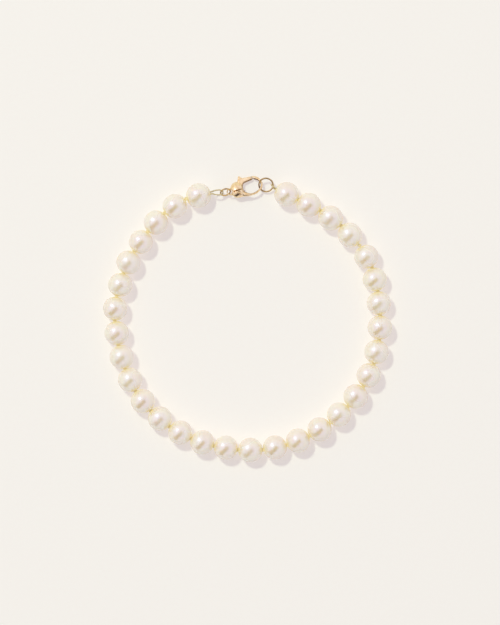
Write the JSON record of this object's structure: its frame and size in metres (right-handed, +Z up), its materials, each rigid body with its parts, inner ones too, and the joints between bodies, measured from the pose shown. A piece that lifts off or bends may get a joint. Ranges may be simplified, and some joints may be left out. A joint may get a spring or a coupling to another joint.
{
  "type": "pearl bracelet",
  "caption": "Knotted string of near-round pearls closed in a ring by a small lobster clasp, a small ring and a jump ring, lying flat.",
  "frame": {"origin": "on the table, in the middle of the bracelet's footprint", "axes": "+Z up off the table; the clasp lies at the +Y side, with its eye towards -X"},
  "size_m": [0.0628, 0.0622, 0.0053],
  "materials": {
    "pearl": "cream nacre, satin gloss",
    "silk": "twisted silk",
    "gimp": "coiled gilt wire",
    "gold": "polished yellow gold"
  },
  "bodies": {
    "bracelet": {"pearl_01": "pearl", "pearl_02": "pearl", "pearl_03": "pearl", "pearl_04": "pearl", "pearl_05": "pearl", "pearl_06": "pearl", "pearl_07": "pearl", "pearl_08": "pearl", "pearl_09": "pearl", "pearl_10": "pearl", "pearl_11": "pearl", "pearl_12": "pearl", "pearl_13": "pearl", "pearl_14": "pearl", "pearl_15": "pearl", "pearl_16": "pearl", "pearl_17": "pearl", "pearl_18": "pearl", "pearl_19": "pearl", "pearl_20": "pearl", "pearl_21": "pearl", "pearl_22": "pearl", "pearl_23": "pearl", "pearl_24": "pearl", "pearl_25": "pearl", "pearl_26": "pearl", "pearl_27": "pearl", "pearl_28": "pearl", "pearl_29": "pearl", "pearl_30": "pearl", "pearl_31": "pearl", "silk_thread": "silk", "gimp_loop_clasp": "gimp", "gimp_loop_ring": "gimp", "clasp_ring": "gold", "clasp_body": "gold", "clasp_rivet": "gold", "jump_ring": "gold"},
    "lever": {"clasp_lever": "gold"}
  },
  "joints": [
    {"name": "clasp_lever_pivot", "type": "hinge", "parent": "bracelet", "child": "lever", "pos_m": [-0.00176, 0.02721, 0.00181], "axis": [0.0655, -0.3189, -0.9455], "range_deg": [0, 20], "stiffness_Nm_per_rad": 0.0005}
  ]
}
